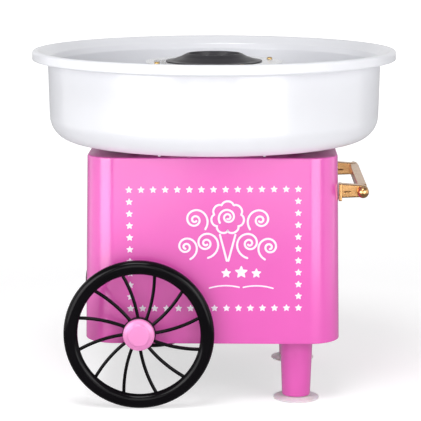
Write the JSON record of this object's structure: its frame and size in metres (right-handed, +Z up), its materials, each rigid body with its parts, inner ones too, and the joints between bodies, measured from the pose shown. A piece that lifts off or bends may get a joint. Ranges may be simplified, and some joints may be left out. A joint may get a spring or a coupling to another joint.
{
  "type": "cotton candy machine",
  "caption": "Table-top cotton candy machine shaped like a carnival cart: wide bowl and spinning head on a box body with spoked wheels, feet and a push handle.",
  "frame": {"origin": "on the table, under the shared axis of the bowl, the spinning head and the motor", "axes": "+Z up along the spinning head's axis, +X towards the push handle, -Y towards the user and the decorated front"},
  "size_m": [0.275, 0.275, 0.2558],
  "materials": {
    "pink_plastic": "glossy candy-pink moulded plastic",
    "pale_pink_plastic": "satin light pink moulded plastic",
    "white_plastic": "glossy white moulded plastic",
    "white_nylon": "matt natural nylon",
    "rocker_plastic": "glossy white plastic",
    "black_plastic": "gloss black moulded plastic",
    "black_phenolic": "satin black heat-proof plastic",
    "black_housing": "satin black plastic",
    "grey_plastic": "matt dark grey plastic",
    "silicone": "milky translucent silicone",
    "gold_plate": "polished warm gold plating",
    "brass": "brass",
    "aluminium": "spun and polished aluminium",
    "turret_metal": "satin spun aluminium",
    "steel": "zinc-plated steel",
    "bronze": "sintered bronze",
    "ceramic": "unglazed white ceramic",
    "ferrite": "dark grey sintered ferrite",
    "copper": "lacquered copper winding",
    "heating_wire": "dark nickel-chrome heating wire",
    "rubber": "matt black rubber",
    "wire_insulation": "red silicone insulation"
  },
  "bodies": {
    "base": {"body_shell": "pink_plastic", "front_leg": "pink_plastic", "rear_leg": "pink_plastic", "terminal_block": "white_nylon", "switch_housing": "black_housing", "motor_end_cap": "black_housing", "base_plate": "grey_plastic", "front_suction_cup": "silicone", "rear_suction_cup": "silicone", "front_handle_bracket": "gold_plate", "rear_handle_bracket": "gold_plate", "front_handle_knob": "gold_plate", "rear_handle_knob": "gold_plate", "handle_bar": "gold_plate", "heater_housing": "turret_metal", "base_screw_1": "steel", "base_screw_2": "steel", "base_screw_3": "steel", "base_screw_4": "steel", "wheel_axle": "steel", "housing_screw_1": "steel", "housing_screw_2": "steel", "housing_screw_3": "steel", "heat_shield": "steel", "motor_can": "steel", "motor_bracket": "steel", "motor_screw_1": "steel", "motor_screw_2": "steel", "front_axle_bush": "bronze", "rear_axle_bush": "bronze", "upper_bearing": "bronze", "lower_bearing": "bronze", "ceramic_former": "ceramic", "thermal_cutoff": "ceramic", "left_magnet": "ferrite", "right_magnet": "ferrite", "heating_coil": "heating_wire", "cord_gland": "rubber", "heater_lead": "wire_insulation"},
    "spinner": {"motor_shaft": "steel", "drive_pin": "steel", "armature": "copper", "cooling_fan": "white_nylon"},
    "head": {"drive_hub": "aluminium", "spinner_dish": "aluminium", "sugar_mesh": "steel", "spinner_disc": "aluminium", "sugar_funnel": "black_phenolic", "disc_screw_1": "brass", "disc_screw_2": "brass", "disc_screw_3": "brass", "disc_screw_4": "brass", "funnel_screw_1": "steel", "funnel_screw_2": "steel"},
    "bowl_body": {"bowl": "white_plastic"},
    "wheel_front": {"front_wheel": "black_plastic", "front_hub_cap": "pale_pink_plastic"},
    "wheel_rear": {"rear_wheel": "black_plastic", "rear_hub_cap": "pale_pink_plastic"},
    "rocker": {"switch_rocker": "rocker_plastic"}
  },
  "joints": [
    {"name": "spinner_spin", "type": "hinge", "parent": "base", "child": "spinner", "pos_m": [0, 0, 0.2], "axis": [0, 0, 1], "continuous": true},
    {"name": "head_lift", "type": "slide", "parent": "spinner", "child": "head", "axis": [0, 0, 1], "range_m": [0, 0.09]},
    {"name": "bowl_lift", "type": "slide", "parent": "base", "child": "bowl_body", "axis": [0, 0, 1], "range_m": [0, 0.12]},
    {"name": "front_wheel_spin", "type": "hinge", "parent": "base", "child": "wheel_front", "pos_m": [-0.0529, -0.0908, 0.0551], "axis": [0, 1, 0], "continuous": true},
    {"name": "rear_wheel_spin", "type": "hinge", "parent": "base", "child": "wheel_rear", "pos_m": [-0.0529, 0.0908, 0.0551], "axis": [0, 1, 0], "continuous": true},
    {"name": "switch_rock", "type": "hinge", "parent": "base", "child": "rocker", "pos_m": [0.045, 0.08096, 0.118], "axis": [-1, 0, 0], "range_deg": [0, 14]}
  ]
}
